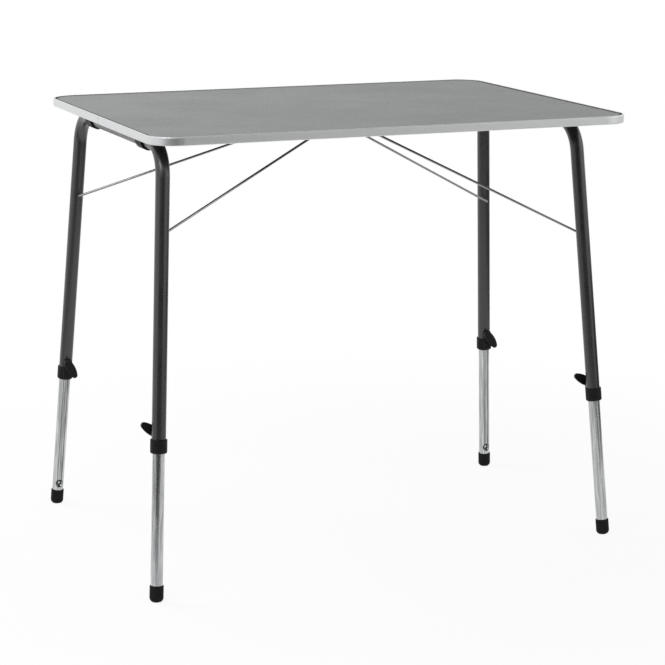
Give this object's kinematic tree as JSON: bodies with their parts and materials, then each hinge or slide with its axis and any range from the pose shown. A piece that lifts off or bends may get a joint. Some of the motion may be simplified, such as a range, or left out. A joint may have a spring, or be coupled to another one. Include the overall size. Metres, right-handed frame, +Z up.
{
  "type": "camping table",
  "caption": "Folding camping table: laminate top with edge trim, hinged tube leg frames held open by wire stays, telescopic clamp legs on rubber feet.",
  "frame": {"origin": "on the floor under the middle of the top", "axes": "+X along the top towards the narrow leg frame, +Z up"},
  "size_m": [0.8282, 0.6, 0.715],
  "materials": {
    "grey_laminate": "satin grey laminate on board",
    "silver_trim": "satin silver",
    "charcoal_paint": "satin charcoal coat",
    "galvanised_tube": "bright galvanised",
    "bright_wire": "bright zinc plated",
    "plated_screws": "zinc plated",
    "black_plastic": "fine grained moulding",
    "black_rubber": "matte"
  },
  "bodies": {
    "top": {"table_board": "grey_laminate", "edge_trim": "silver_trim", "saddle_screws": "plated_screws", "centre_catch": "black_plastic", "catch_screws": "plated_screws", "left_front_saddle": "black_plastic", "left_back_saddle": "black_plastic", "right_front_saddle": "black_plastic", "right_back_saddle": "black_plastic"},
    "left_frame": {"left_leg_frame": "charcoal_paint", "left_front_collar": "black_plastic", "left_back_collar": "black_plastic"},
    "left_stay": {"left_stay": "bright_wire"},
    "left_front_lower": {"left_front_lower_leg": "galvanised_tube", "left_front_foot": "black_rubber", "left_front_guide_plug": "black_plastic"},
    "left_front_lever": {"left_front_clamp_lever": "black_plastic", "left_front_clamp_screw": "plated_screws"},
    "left_back_lower": {"left_back_lower_leg": "galvanised_tube", "left_back_foot": "black_rubber", "left_back_guide_plug": "black_plastic"},
    "left_back_lever": {"left_back_clamp_lever": "black_plastic", "left_back_clamp_screw": "plated_screws"},
    "right_frame": {"right_leg_frame": "charcoal_paint", "right_front_collar": "black_plastic", "right_back_collar": "black_plastic"},
    "right_stay": {"right_stay": "bright_wire"},
    "right_front_lower": {"right_front_lower_leg": "galvanised_tube", "right_front_foot": "black_rubber", "right_front_guide_plug": "black_plastic"},
    "right_front_lever": {"right_front_clamp_lever": "black_plastic", "right_front_clamp_screw": "plated_screws"},
    "right_back_lower": {"right_back_lower_leg": "galvanised_tube", "right_back_foot": "black_rubber", "right_back_guide_plug": "black_plastic"},
    "right_back_lever": {"right_back_clamp_lever": "black_plastic", "right_back_clamp_screw": "plated_screws"}
  },
  "joints": [
    {"name": "left_fold", "type": "hinge", "parent": "top", "child": "left_frame", "pos_m": [-0.3617, 0, 0.691], "axis": [0, -1, 0], "range_deg": [0, 90]},
    {"name": "left_stay_swing", "type": "hinge", "parent": "left_frame", "child": "left_stay", "pos_m": [-0.37005, 0, 0.55325], "axis": [0, -1, 0], "range_deg": [-119.41, 0]},
    {"name": "left_front_leg_slide", "type": "slide", "parent": "left_frame", "child": "left_front_lower", "axis": [0.0603, 0.0953, 0.9936], "range_m": [0, 0.185]},
    {"name": "left_front_clamp", "type": "hinge", "parent": "left_frame", "child": "left_front_lever", "pos_m": [-0.38808, -0.24476, 0.2559], "axis": [-0.0058, 0.9954, -0.0952], "range_deg": [-90, 0]},
    {"name": "left_back_leg_slide", "type": "slide", "parent": "left_frame", "child": "left_back_lower", "axis": [0.0603, -0.0953, 0.9936], "range_m": [0, 0.185]},
    {"name": "left_back_clamp", "type": "hinge", "parent": "left_frame", "child": "left_back_lever", "pos_m": [-0.38808, 0.24476, 0.2559], "axis": [-0.0058, -0.9954, -0.0952], "range_deg": [0, 90]},
    {"name": "right_fold", "type": "hinge", "parent": "top", "child": "right_frame", "pos_m": [0.3617, 0, 0.691], "axis": [0, 1, 0], "range_deg": [0, 90]},
    {"name": "right_stay_swing", "type": "hinge", "parent": "right_frame", "child": "right_stay", "pos_m": [0.37284, 0, 0.50734], "axis": [0, 1, 0], "range_deg": [-124.16, 0]},
    {"name": "right_front_leg_slide", "type": "slide", "parent": "right_frame", "child": "right_front_lower", "axis": [-0.0603, 0.0816, 0.9948], "range_m": [0, 0.185]},
    {"name": "right_front_clamp", "type": "hinge", "parent": "right_frame", "child": "right_front_lever", "pos_m": [0.3881, -0.19085, 0.25561], "axis": [0.0049, 0.9967, -0.0814], "range_deg": [-90, 0]},
    {"name": "right_back_leg_slide", "type": "slide", "parent": "right_frame", "child": "right_back_lower", "axis": [-0.0603, -0.0816, 0.9948], "range_m": [0, 0.185]},
    {"name": "right_back_clamp", "type": "hinge", "parent": "right_frame", "child": "right_back_lever", "pos_m": [0.3881, 0.19085, 0.25561], "axis": [0.0049, -0.9967, -0.0814], "range_deg": [0, 90]}
  ],
  "couplings": [
    {"joint": "left_stay_swing", "follows": "left_fold", "ratio": -1.3213},
    {"joint": "right_stay_swing", "follows": "right_fold", "ratio": -1.374}
  ]
}
